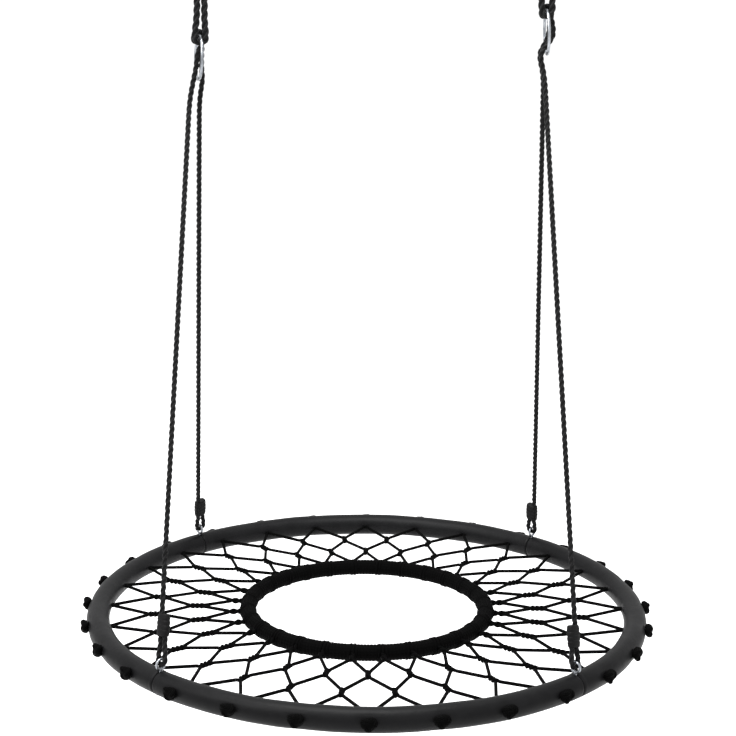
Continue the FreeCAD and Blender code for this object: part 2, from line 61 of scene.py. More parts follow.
JOINTS = {joint["name"]: Vector(joint["pos_m"]) for joint in frame["joints"]}
HANGER_X = -JOINTS["sway"].x
SWAY_Z = JOINTS["sway"].z
SEAT_PIVOT_X = -JOINTS["seat_level"].x
SEAT_PIVOT_Z = JOINTS["seat_level"].z
LINK_L = hypot(SEAT_PIVOT_X - HANGER_X, SWAY_Z - SEAT_PIVOT_Z)
LEAN = atan2(SEAT_PIVOT_X - HANGER_X, SWAY_Z - SEAT_PIVOT_Z)

TUBE_LOW, TUBE_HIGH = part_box("hoop_tube")
CORE_LOW, CORE_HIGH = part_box("centre_ring_core")
TUBE_R = (TUBE_HIGH.z - TUBE_LOW.z) / 2
HOOP_R = TUBE_HIGH.x - TUBE_R
HOOP_Z = (TUBE_HIGH.z + TUBE_LOW.z) / 2
CENTRE_RING_R = CORE_HIGH.x - (CORE_HIGH.z - CORE_LOW.z) / 2
CENTRE_WRAP_R = 14.5 * MM
COVER_R = 21 * MM
HOOP_OUTER_R = HOOP_R + COVER_R
SLEEVE_GAP = 0.3 * MM       # the sleeves' ends nearly touch
SLEEVE_ROLL = 3 * MM
SLEEVE_DIPS = [             # depth, reach along the hoop and round the section in mm, and which side
    (1.5, 17, 16, "outside"), (1.3, 7, 7, "inside"), (0.5, 15, 14, "inside")]
EYE_ANGLE = radians(46)
EYE_BEARING = radians(16)
EYE_R = 8.5 * MM
EYE_SHANK_R = 3 * MM
SEAT_PIVOT_Y = (HOOP_R - EYE_R * sin(EYE_BEARING)) * sin(EYE_ANGLE)

ANCHORS = 28
STEP = tau / ANCHORS
CORD_R = 3 * MM
STRAND_SPACING = 3 * MM
LINE_SPACING = 1.6 * MM
STEM_IN = HOOP_R - COVER_R - 2 * MM
CENTRE_FACE_R = CENTRE_RING_R + CENTRE_WRAP_R
WEB_W = STEM_IN - CENTRE_FACE_R
OUTER_ROW_R = CENTRE_FACE_R + 0.664 * WEB_W
INNER_ROW_R = CENTRE_FACE_R + 0.345 * WEB_W
CENTRE_KNOT_R = CENTRE_FACE_R + 20 * MM
KNOT_L = 24 * MM
KNOT_TURNS = 1.5
STOP_KNOT_R = 12 * MM
STOP_KNOT_L = 14 * MM
STOP_KNOT_SINK = 3 * MM
STOP_KNOT_RISE = 3.5 * MM
STOP_CORD_R = 4.4 * MM
RIDGE = 5.8 * MM
RIDGE_DEPTH = 1.6 * MM

ROPE_R = 4.75 * MM
ROPE_LAY = 34 * MM
ROPE_SPACING = 2.4 * MM
ROPE_SIDES = 36
STRAND = 5.1 * MM           # from a clamp's middle to each strand's
LOOP_R = 8 * MM
CLAMP_H = 37 * MM
# how far each clamp's middle stands above its eye
CLAMP_UP = {"left_front": 55 * MM, "right_front": 42 * MM, "left_back": 46 * MM, "right_back": 41 * MM}
CLAMP_WALL, CLAMP_SKIN = 2.6 * MM, 3.0 * MM
CLAMP_RIM = 2.6 * MM
CLAMP_POWER = 2.6           # of its superellipse section
CLAMP_NARROWS = 0.13        # by its ends
CLAMP_GROOVES = (-0.42, 0, 0.42)        # as shares of half the height
RING_R = 37 * MM
RING_STEP = 49 * MM
LEFT_RING_TURN = radians(14)
# how far sideways each rope points below its ring
BELOW_RING_X = {"left_front": -9 * MM, "right_front": -9 * MM, "left_back": 6 * MM, "right_back": -9 * MM}
ROPES_APART = 10 * MM
INSIDE_RING = {             # each rope's points inside its ring, in mm, y from beside the other rope
    "left_front": [(-3.0, -2.5, 8.0), (-4.5, 0.0, -15.0), (-9.0, 1.8, -37.0)],
    "left_back": [(5.5, 0.0, -4.0), (6.5, 0.6, -21.0), (9.0, 1.8, -37.0)],
    "right_front": [(12.5, 0.0, -4.0), (0.0, 0.0, -21.0), (-13.5, 1.8, -37.0)],
    "right_back": [(4.5, 0.0, -4.0), (-4.0, 0.0, -21.0), (-13.5, 1.8, -37.0)],
}
HITCH_R = 7.55 * MM
HITCH_AROUND = (radians(12), radians(34))
HITCH_WRAP = radians(240)
HITCH_SPACING = 1.5 * MM
HITCH_SIDES = 30

SLING_R = 6 * MM
SLING_LAY = 42 * MM
SLING_L = 105 * MM
SLING_STRAND = 6.35 * MM
SLING_CLAMP_H = 32 * MM
SLING_CLAMP_DROP = 45 * MM
SLING_AROUND = radians(16)
SLING_TOP_R = 11.6 * MM
SLING_LOW_R = 9.1 * MM
SLING_PARTS_AT = {-1: 9 * MM, 1: 30 * MM}   # how far above its lowest turn each side's sling opens
HOOK_LOW = -74 * MM

FLOOR_Z = -1.80             # the seat hangs a chair's height above the ground
FLOOR_HALF = 300.0
WORLD_STRENGTH = 1.12
CAMERA_YAW, CAMERA_PITCH, CAMERA_ROLL = -0.0098, -0.2242, 0.0112
CAMERA_PLACE = (-0.0315, -2.9288, -0.2071)
CAMERA_LENS = 82.71
CAMERA_FAR = 900
ONE_BAND = 0.314            # the wave texture's scale at which a band is one unit wide


# ---------------------------------------------------------------- surfaces as grids of points

def skin(grid, looped=False, along=None):
    """A surface from a grid of points, rows by sides, that closes round each row.

    Rows run one way and sides turn anticlockwise seen from the way the rows go. The ends are
    closed with fans, unless the rows are looped. Its UV is the share of a turn and the length.
    """
    rows, sides = grid.shape[:2]
    verts = grid.reshape(-1, 3)
    i, j = np.meshgrid(np.arange(rows if looped else rows - 1), np.arange(sides), indexing="ij")
    up, right = (i + 1) % rows, (j + 1) % sides
    quads = np.stack([i * sides + j, i * sides + right, up * sides + right, up * sides + j], -1)
    quads = quads.reshape(-1, 4)
    if along is None:
        steps = np.linalg.norm(np.diff(grid[:, 0], axis=0, append=grid[:1, 0]), axis=1)
        along = np.concatenate([[0], np.cumsum(steps)])
    low, high = along[i], along[i + 1]
    u, v = np.stack([j, j + 1, j + 1, j], -1) / sides, np.stack([low, low, high, high], -1)
    uv = np.stack([u, v], -1).reshape(-1, 2)
    if looped:
        return verts, quads, np.zeros((0, 3), int), uv
    ends = np.stack([grid[0].mean(0), grid[-1].mean(0)])
    side = np.arange(sides)
    beside = (side + 1) % sides
    last = (rows - 1) * sides
    first_fan = np.stack([np.full(sides, len(verts)), beside, side], -1)
    last_fan = np.stack([np.full(sides, len(verts) + 1), last + side, last + beside], -1)
    fans = np.concatenate([first_fan, last_fan])
    fan_uv = np.zeros((6 * sides, 2))
    return np.concatenate([verts, ends]), quads, fans, np.concatenate([uv, fan_uv])


def joined(skins):
    """Several surfaces as one, each keeping its own points."""
    counts = np.cumsum([0] + [len(s[0]) for s in skins])
    verts = np.concatenate([s[0] for s in skins])
    quads = np.concatenate([s[1] + n for s, n in zip(skins, counts)])
    tris = np.concatenate([s[2] + n for s, n in zip(skins, counts)])
    corners = [np.split(s[3], [4 * len(s[1])]) for s in skins]
    uv = np.concatenate([c[0] for c in corners] + [c[1] for c in corners])
    return verts, quads, tris, uv


def turned(points, angle):
    """Points turned about the Z axis."""
    c, s = np.cos(angle), np.sin(angle)
    return points @ np.array([[c, s, 0], [-s, c, 0], [0, 0, 1]])


def round_hoop(one):
    """A surface repeated at every anchor spacing round the hoop."""
    return joined([(turned(one[0], STEP * k), *one[1:]) for k in range(ANCHORS)])


def piece(name, surface, body, material, replaced):
    """A surface as a Blender object that rides on a body and stands for CAD nodes."""
    verts, quads, tris, uv = surface
    mesh = bpy.data.meshes.new(name)
    mesh.from_pydata(verts.tolist(), [], quads.tolist() + tris.tolist())
    mesh.uv_layers.new(name="UVMap").data.foreach_set("uv", uv.astype(np.float32).ravel())
    mesh.polygons.foreach_set("use_smooth", np.ones(len(mesh.polygons), bool))
    mesh.materials.append(material)
    thing = bpy.data.objects.new(name, mesh)
    bpy.context.scene.collection.objects.link(thing)
    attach(thing, body)
    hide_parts(*replaced)
    return thing


def even_line(points, spacing):
    """The line's points at an even spacing, and their distance along it."""
    along = np.concatenate([[0], np.cumsum(np.linalg.norm(np.diff(points, axis=0), axis=1))])
    even = np.linspace(0, along[-1], ceil(along[-1] / spacing) + 1)
    return np.stack([np.interp(even, along, points[:, k]) for k in range(3)], -1), even


def tube(points, spacing, sides, radius):
    """A round section carried along a line without twisting.

    radius(distance along, angle round) gives the section's outline.
    """
    line, along = even_line(points, spacing)
    tangent = np.gradient(line, axis=0)
    tangent /= np.linalg.norm(tangent, axis=1)[:, None]
    normal = np.empty_like(line)
    carried = np.cross(tangent[0], (0.31, 0.83, 0.46))
    for i, direction in enumerate(tangent):
        carried = carried - direction * carried.dot(direction)
        carried = carried / np.linalg.norm(carried)
        normal[i] = carried
    across = np.cross(tangent, normal)
    angle = np.linspace(0, tau, sides, endpoint=False)
    r = radius(along[:, None], angle[None, :])[..., None]
    spoke = normal[:, None] * np.cos(angle)[None, :, None] + across[:, None] * np.sin(angle)[None, :, None]
    return skin(line[:, None] + r * spoke, along=np.append(along, along[-1]))


def laid(radius, lay, strands=3):
    """Outline of a laid rope: round strands side by side in a helix.

    A strand's middle is 0.52 of the rope's radius out and its own radius is the rest, so towards
    a strand the outline is the rope's radius, and between two strands it dips.
    """
    out, strand = 0.52 * radius, 0.48 * radius

    def outline(along, angle):
        phase = strands * (angle - tau * along / lay)
        near = ((phase + pi) % tau - pi) / strands
        return out * np.cos(near) + np.sqrt(strand ** 2 - (out * np.sin(near)) ** 2)
    return outline


def plain(radius):
    """Outline of a smooth round cord."""
    return lambda along, angle: radius + 0 * along * angle


# ---------------------------------------------------------------- finishes

def linear(code):
    """An sRGB hex colour as a linear one."""
    parts = [int(code[i:i + 2], 16) / 255 for i in (1, 3, 5)]
    return [p / 12.92 if p <= 0.04045 else ((p + 0.055) / 1.055) ** 2.4 for p in parts] + [1]


def add(tree, kind, inputs=None, **settings):
    """A node with its settings, and its inputs as values or as links from other sockets."""
    node = tree.nodes.new(kind)
    for key, value in settings.items():
        setattr(node, key, value)
    for key, value in (inputs or {}).items():
        if isinstance(value, bpy.types.NodeSocket):
            tree.links.new(value, node.inputs[key])
        else:
            node.inputs[key].default_value = value
    return node


def new_material(name, **shader):
    """A material with one Principled shader, whose plain values are set on its own sockets."""
    material = bpy.data.materials.new(name)
    material.use_nodes = True
    tree = material.node_tree
    principled = tree.nodes["Principled BSDF"]
    for key, value in shader.items():
        principled.inputs[key.replace("_", " ")].default_value = value
    return material, tree, principled


def object_place(tree):
    """The point in the piece's own metres."""
    return add(tree, "ShaderNodeTexCoord").outputs["Object"]


def uv_place(tree, turn_length, length_scale):
    """The piece's UV, with a turn as so many units and a metre as so many."""
    uv = add(tree, "ShaderNodeTexCoord").outputs["UV"]
    return add(tree, "ShaderNodeVectorMath", {0: uv, 1: (turn_length, length_scale, 1)},
               operation="MULTIPLY").outputs["Vector"]


def shade(tree, factor, low, high, from_low=0.3, from_high=0.7):
    """A colour between two hex ones, by a factor."""
    ramp = add(tree, "ShaderNodeValToRGB", {"Fac": factor})
    ramp.color_ramp.elements[0].position = from_low
    ramp.color_ramp.elements[1].position = from_high
    ramp.color_ramp.elements[0].color = linear(low)
    ramp.color_ramp.elements[1].color = linear(high)
    return ramp.outputs["Color"]


def spread(tree, factor, low, high):
    """A number between low and high, by a factor from 0 to 1."""
    return add(tree, "ShaderNodeMapRange", {"Value": factor, "To Min": low, "To Max": high}).outputs["Result"]


def bump(tree, principled, height, depth, strength=1.0):
    """Relief of a real depth in metres."""
    node = add(tree, "ShaderNodeBump", {"Height": height, "Distance": depth, "Strength": strength})
    tree.links.new(node.outputs["Normal"], principled.inputs["Normal"])


def zinc_plated_steel():
    """Zinc plating over drawn steel wire: a cool grey metal, with cloudy patches of duller zinc
    about 8 mm across and fine drawing marks about 0.7 mm apart."""
    material, tree, principled = new_material("zinc_plated_steel", Metallic=1.0)
    place = object_place(tree)
    cloud = add(tree, "ShaderNodeTexNoise", {"Vector": place, "Scale": 120, "Detail": 3}).outputs["Fac"]
    marks = add(tree, "ShaderNodeTexNoise", {"Vector": place, "Scale": 1500, "Detail": 2}).outputs["Fac"]
    tree.links.new(shade(tree, cloud, "#7b7f85", "#a7aaae"), principled.inputs["Base Color"])
    tree.links.new(spread(tree, cloud, 0.2, 0.42), principled.inputs["Roughness"])
    bump(tree, principled, marks, 0.00004, 0.6)
    return material


def black_enamel_steel():
    """Stoved black enamel on tube: a smooth gloss with a faint orange peel 2 mm across."""
    material, tree, principled = new_material(
        "black_enamel_steel", Roughness=0.3, Coat_Weight=0.4, Coat_Roughness=0.12)
    place = object_place(tree)
    peel = add(tree, "ShaderNodeTexNoise", {"Vector": place, "Scale": 500, "Detail": 1}).outputs["Fac"]
    tree.links.new(shade(tree, peel, "#0f0f10", "#161617"), principled.inputs["Base Color"])
    bump(tree, principled, peel, 0.00005, 0.5)
    return material


def coated_polyester_cover():
    """Vinyl-coated polyester cloth: dark grey with a soft satin sheen. Its weave of 0.5 mm threads
    shows only as a fine grain, drawn 1.1 mm wide so that it shows, with worn, duller patches."""
    material, tree, principled = new_material("coated_polyester_cover", Specular_IOR_Level=0.08)
    grain_place = uv_place(tree, tau * COVER_R / (1.1 * MM), 1 / (1.1 * MM))
    warp = add(tree, "ShaderNodeTexWave", {"Vector": grain_place, "Scale": ONE_BAND, "Distortion": 0.6,
                                           "Detail": 1.0}, bands_direction="X").outputs["Fac"]
    weft = add(tree, "ShaderNodeTexWave", {"Vector": grain_place, "Scale": ONE_BAND, "Distortion": 0.6,
                                           "Detail": 1.0}, bands_direction="Y").outputs["Fac"]
    grain = add(tree, "ShaderNodeMath", {0: warp, 1: weft}, operation="MULTIPLY").outputs["Value"]
    place = object_place(tree)
    worn = add(tree, "ShaderNodeTexNoise", {"Vector": place, "Scale": 26, "Detail": 4,
                                            "Roughness": 0.6}).outputs["Fac"]
    creased = add(tree, "ShaderNodeTexNoise", {"Vector": place, "Scale": 70, "Detail": 3}).outputs["Fac"]
    relief = add(tree, "ShaderNodeMath", {0: creased, 1: 9.0, 2: grain},
                 operation="MULTIPLY_ADD").outputs["Value"]
    tree.links.new(shade(tree, worn, "#0a0a0b", "#111112"), principled.inputs["Base Color"])
    tree.links.new(spread(tree, worn, 0.4, 0.56), principled.inputs["Roughness"])
    bump(tree, principled, relief, 0.00006, 0.8)
    return material


def laid_polypropylene(name, radius, lay):
    """Three-strand split-film rope: near black, each strand with yarns 0.9 mm wide that run almost
    along the rope, drawn 1.4 mm wide so that they show, and a dry, slightly fuzzy surface."""
    material, tree, principled = new_material(
        name, Specular_IOR_Level=0.12, Sheen_Weight=0.05, Sheen_Roughness=0.4)
    yarns = uv_place(tree, tau * radius / (1.4 * MM), 0.35 / (1.4 * MM))
    turn = add(tree, "ShaderNodeVectorRotate", {"Vector": yarns, "Angle": 0.55},
               rotation_type="Z_AXIS").outputs["Vector"]
    lines = add(tree, "ShaderNodeTexWave", {"Vector": turn, "Scale": ONE_BAND, "Distortion": 1.5,
                                            "Detail": 2.0, "Detail Scale": 2.0},
                bands_direction="X").outputs["Fac"]
    place = object_place(tree)
    fuzz = add(tree, "ShaderNodeTexNoise", {"Vector": place, "Scale": 900, "Detail": 3}).outputs["Fac"]
    faded = add(tree, "ShaderNodeTexNoise", {"Vector": place, "Scale": 60, "Detail": 2}).outputs["Fac"]
    tint = add(tree, "ShaderNodeMath", {0: lines, 1: 0.5, 2: faded},
               operation="MULTIPLY_ADD").outputs["Value"]
    relief = add(tree, "ShaderNodeMath", {0: fuzz, 1: 0.5, 2: lines},
                 operation="MULTIPLY_ADD").outputs["Value"]
    tree.links.new(shade(tree, tint, "#030303", "#131314", 0.35, 1.0), principled.inputs["Base Color"])
    tree.links.new(spread(tree, lines, 0.8, 0.6), principled.inputs["Roughness"])
    bump(tree, principled, relief, 0.00035, 0.8)
    return material


def braided_net_cord():
    """Solid-braid polyester cord: black and matt, its stitches 1.6 mm long in a diamond pattern."""
    material, tree, principled = new_material("braided_net_cord", Specular_IOR_Level=0.03)
    stitch = uv_place(tree, tau * CORD_R / (1.6 * MM), 1 / (1.6 * MM))
    slant = add(tree, "ShaderNodeVectorRotate", {"Vector": stitch, "Angle": pi / 4},
                rotation_type="Z_AXIS").outputs["Vector"]
    one_way = add(tree, "ShaderNodeTexWave", {"Vector": slant, "Scale": ONE_BAND},
                  bands_direction="X").outputs["Fac"]
    other_way = add(tree, "ShaderNodeTexWave", {"Vector": slant, "Scale": ONE_BAND},
                    bands_direction="Y").outputs["Fac"]
    braid = add(tree, "ShaderNodeMath", {0: one_way, 1: other_way}, operation="MULTIPLY").outputs["Value"]
    tree.links.new(shade(tree, braid, "#010101", "#060606", 0.1, 0.9), principled.inputs["Base Color"])
    tree.links.new(spread(tree, braid, 0.85, 0.65), principled.inputs["Roughness"])
    bump(tree, principled, braid, 0.0004, 0.9)
    return material


def moulded_nylon(name, low, high):
    """Injection-moulded nylon with a spark-eroded texture: matt, with a grain 0.8 mm across."""
    material, tree, principled = new_material(name, Specular_IOR_Level=0.12)
    place = object_place(tree)
    grain = add(tree, "ShaderNodeTexVoronoi", {"Vector": place, "Scale": 1250}).outputs["Distance"]
    cloud = add(tree, "ShaderNodeTexNoise", {"Vector": place, "Scale": 90, "Detail": 3}).outputs["Fac"]
    tree.links.new(shade(tree, cloud, low, high), principled.inputs["Base Color"])
    tree.links.new(spread(tree, cloud, 0.5, 0.65), principled.inputs["Roughness"])
    bump(tree, principled, grain, 0.00006, 0.6)
    return material


def closed_cell_foam():
    """Extruded polyethylene foam: dark grey and dull, with a skin of cells 1.5 mm across."""
    material, tree, principled = new_material("closed_cell_foam", Roughness=0.9, Specular_IOR_Level=0.2)
    place = object_place(tree)
    cells = add(tree, "ShaderNodeTexVoronoi", {"Vector": place, "Scale": 660}).outputs["Distance"]
    tree.links.new(shade(tree, cells, "#1c1c1d", "#2a2a2b"), principled.inputs["Base Color"])
    bump(tree, principled, cells, 0.0003, 0.7)
    return material


ZINC = zinc_plated_steel()
ENAMEL = black_enamel_steel()
COVER = coated_polyester_cover()
ROPE = laid_polypropylene("laid_rope_10mm", ROPE_R, ROPE_LAY)
SLING = laid_polypropylene("laid_rope_12mm", SLING_R, SLING_LAY)
CORD = braided_net_cord()
CLAMP = moulded_nylon("moulded_black_nylon", "#040405", "#090909")
NYLON = moulded_nylon("natural_nylon", "#cfccc0", "#dedbd0")
FOAM = closed_cell_foam()


def dress_cad_nodes():
    """Gives each CAD node the material of its slot."""
    finishes = {"zinc_steel": ZINC, "painted_steel": ENAMEL, "foam": FOAM, "cover_vinyl": COVER,
                "clamp_plastic": CLAMP, "nylon": NYLON, "rope": ROPE}
    for part in frame["record"]["subparts"]:
        mesh = frame["nodes"][part["node"]].data
        mesh.materials.clear()
        mesh.materials.append(finishes[part["material_slot"]])


# ---------------------------------------------------------------- cords

def smooth_line(name, points):
    """The cord's line: a NURBS spline with the route's points as its control points."""
    curve = bpy.data.curves.new(name + "_line", "CURVE")
    curve.dimensions = "3D"
    curve.resolution_u = 24
    spline = curve.splines.new("NURBS")
    spline.points.add(len(points) - 1)
    spline.points.foreach_set("co", np.array([[*p, 1.0] for p in points], np.float32).ravel())
    spline.order_u = 3
    spline.use_endpoint_u = True
    holder = bpy.data.objects.new(name + "_line", curve)
    mesh = bpy.data.meshes.new_from_object(holder)
    line = np.empty(3 * len(mesh.vertices))
    mesh.vertices.foreach_get("co", line)
    bpy.data.objects.remove(holder)
    bpy.data.meshes.remove(mesh)
    return line.reshape(-1, 3)


def link_frame(side):
    """Where a side's ropes hang, as a matrix from the frame of its sway axis."""
    return Matrix.Translation((side * HANGER_X, 0, SWAY_Z)) @ Matrix.Rotation(-side * LEAN, 4, "Y")


def ring_frame(side):
    """Middle of a side's ring, in its link's frame, and how far it is turned."""
    left = side < 0
    middle = Vector((0, 0, HOOK_LOW - SLING_L - (RING_STEP if left else 0) - RING_R))
    return Matrix.Translation(middle) @ Matrix.Rotation(LEFT_RING_TURN if left else 0, 4, "Z")


def route_of_rope(side, end, corner):
    """The rope's points: from its turn on the ring, through the ring, and down to the eye's loop.

    end is -1 for the front rope and 1 for the back one. Also gives the clamp's place.
    """
    ring = ring_frame(side)
    turn_at = HITCH_AROUND[0] if end < 0 else HITCH_AROUND[1]
    inward = Vector((0, -sin(turn_at), -cos(turn_at)))
    start = inward * -RING_R + X * HITCH_R
    clamp_up = CLAMP_UP[corner]
    inside = [start, start + inward * 8 * MM]
    inside += [Vector((x * MM, (ROPES_APART / 2 + y * MM) * end, z * MM)) for x, y, z in INSIDE_RING[corner]]
    eye = Vector((0, end * SEAT_PIVOT_Y, -LINK_L))
    aim = ring.translation + Vector((BELOW_RING_X[corner], 12 * MM * end, -RING_R - 34 * MM))
    up = (aim - eye).normalized()
    along_hoop = link_frame(side).to_3x3().inverted() @ Vector((-side * end * SEAT_PIVOT_Y, SEAT_PIVOT_X, 0))
    across = (along_hoop - up * along_hoop.dot(up)).normalized() * end
    part_up = min(clamp_up - CLAMP_H / 2 - 2 * MM, LOOP_R + 12 * MM)

    def at(sideways, height):
        return eye + across * sideways + up * height

    top = (aim - eye).length
    # two more points on the long taut run: six diameters from the ring, and near the clamp
    loop = [at(-STRAND, top), at(-STRAND, top - 57 * MM),
            at(-STRAND, 2 * part_up - LOOP_R), at(-STRAND, part_up), at(-LOOP_R, LOOP_R),
            at(-LOOP_R, -LOOP_R), at(LOOP_R, -LOOP_R), at(LOOP_R, LOOP_R),
            at(STRAND, part_up), at(STRAND, clamp_up + CLAMP_H / 2 - 4 * MM)]
    clamp = Matrix((across, up.cross(across), up)).transposed().to_4x4()
    clamp.translation = at(0, clamp_up)
    return [ring @ p for p in inside] + loop, clamp


def route_of_sling(side):
    """The sling's points in the ring's frame: a loop from the hook's wire to the ring's wire."""
    top = ring_frame(side).inverted() @ Vector((0, 0, HOOK_LOW))
    clamp_z = top.z - SLING_CLAMP_DROP
    low = Vector((0, -RING_R * sin(SLING_AROUND), RING_R * cos(SLING_AROUND)))
    crown = top.z + SLING_TOP_R
    keel = low.z - SLING_LOW_R
    pinch_up = clamp_z + SLING_CLAMP_H / 2 + 2 * MM
    pinch_low = clamp_z - SLING_CLAMP_H / 2 - 2 * MM
    part_low = low.z + SLING_PARTS_AT[side]
    lean = low.y / (clamp_z - low.z)

    def at(x, z):
        drop = max(0, clamp_z - SLING_CLAMP_H / 2 - z)
        return Vector((x, drop * lean, z))

    points = [at(-SLING_STRAND, clamp_z + 0.3 * MM), at(-SLING_STRAND, pinch_up),
              at(-SLING_TOP_R, top.z - 6 * MM), at(-SLING_TOP_R, crown),
              at(SLING_TOP_R, crown), at(SLING_TOP_R, top.z - 6 * MM),
              at(SLING_STRAND, pinch_up), Vector((SLING_STRAND, 0, pinch_low))]
    if side < 0:
        points.append(at(SLING_STRAND, part_low + 20 * MM))
    points += [at(SLING_LOW_R, part_low), at(SLING_LOW_R, keel),
               at(-SLING_LOW_R, keel), at(-SLING_LOW_R, part_low)]
    if side < 0:
        points.append(at(-SLING_STRAND, part_low + 20 * MM))
    points += [Vector((-SLING_STRAND, 0, pinch_low)), Vector((-SLING_STRAND, 0, clamp_z - 0.3 * MM))]
    return points, Matrix.Translation((0, 0, clamp_z))


def clamp_barrel(strand, radius, height, place):
    """A moulded clamp round two strands.

    Its section is a superellipse. From the middle of its height the section narrows towards both
    ends as a power of the height; it dips in grooves, and turns in at the rims like a quarter circle.
    """
    half = height / 2
    rim = CLAMP_RIM
    h = np.concatenate([half - rim + rim * np.sin(np.linspace(pi / 2, 0, 7)),
                        np.linspace(half - rim, rim - half, 45)[1:-1],
                        rim - half - rim * np.sin(np.linspace(0, pi / 2, 7))])[::-1]
    swell = 1 - CLAMP_NARROWS * np.abs(h / half) ** 2.6
    for groove in CLAMP_GROOVES:
        swell -= 0.07 * np.exp(-((h / half - groove) / 0.07) ** 2)
    over = np.clip((np.abs(h) - (half - rim)) / rim, 0, 1)
    turn_in = rim * (1 - np.sqrt(1 - 0.96 * over ** 2))
    angle = np.linspace(0, tau, 48, endpoint=False)
    c, s = np.cos(angle), np.sin(angle)
    wide = (strand + radius + CLAMP_WALL) * swell - turn_in
    thick = (radius + CLAMP_SKIN) * swell - turn_in
    x = wide[:, None] * (np.sign(c) * np.abs(c) ** (2 / CLAMP_POWER))[None]
    y = thick[:, None] * (np.sign(s) * np.abs(s) ** (2 / CLAMP_POWER))[None]
    grid = np.stack([x, y, np.broadcast_to(h[:, None], x.shape)], -1)
    turn = np.array(place.to_3x3())
    return skin(grid @ turn.T + np.array(place.translation))


def hitch_line(place):
    """Line of the lark's head on the ring's top wire.

    Over a share t from 0 to 1 it climbs round the wire and back, by an angle that goes with
    1 - |2t - 1| to the power 1.5, while it moves along the ring by a smooth step in the middle.
    """
    t = np.linspace(0, 1, 90)
    round_wire = HITCH_WRAP * 1.04 * (1 - np.abs(2 * t - 1) ** 1.5)
    step = np.clip((t - 0.36) / 0.28, 0, 1)
    along_ring = HITCH_AROUND[0] + (HITCH_AROUND[1] - HITCH_AROUND[0]) * step ** 2 * (3 - 2 * step)
    out = RING_R + HITCH_R * np.sin(round_wire)
    line = np.stack([HITCH_R * np.cos(round_wire), out * np.sin(along_ring), out * np.cos(along_ring)], -1)
    return line @ np.array(place.to_3x3()).T + np.array(place.translation)


def make_ropes(side, word):
    """A side's two hanging ropes, their hitch on the ring, their clamps, and the sling above."""
    link = link_frame(side)
    ring = link @ ring_frame(side)
    body = word + "_ropes"
    surface = tube(hitch_line(ring), HITCH_SPACING, HITCH_SIDES, laid(ROPE_R, ROPE_LAY))
    hitch = piece(word + "_rope_hitch", surface, body, ROPE, [word + "_ring_hitch"])
    for end, where in ((-1, "_front"), (1, "_back")):
        corner = word + where
        route, clamp = route_of_rope(side, end, corner)
        route = [link @ p for p in route]
        line, _ = even_line(smooth_line(corner + "_rope", route), ROPE_SPACING)
        surface = tube(line, ROPE_SPACING, ROPE_SIDES, laid(ROPE_R, ROPE_LAY))
        rope = piece(corner + "_laid_rope", surface, body, ROPE, [corner + "_rope"])
        surface = clamp_barrel(STRAND, ROPE_R, CLAMP_H, link @ clamp)
        barrel = piece(corner + "_rope_clamp", surface, body, CLAMP, [corner + "_clamp"])
    route, clamp = route_of_sling(side)
    route = [ring @ p for p in route]
    line, _ = even_line(smooth_line(word + "_sling", route), ROPE_SPACING)
    surface = tube(line, ROPE_SPACING, ROPE_SIDES, laid(SLING_R, SLING_LAY))
    sling = piece(word + "_laid_sling", surface, body, SLING, [word + "_sling"])
    surface = clamp_barrel(SLING_STRAND, SLING_R, SLING_CLAMP_H, ring @ clamp)
    barrel = piece(word + "_sling_barrel", surface, body, CLAMP, [word + "_sling_clamp"])


# ---------------------------------------------------------------- hoop

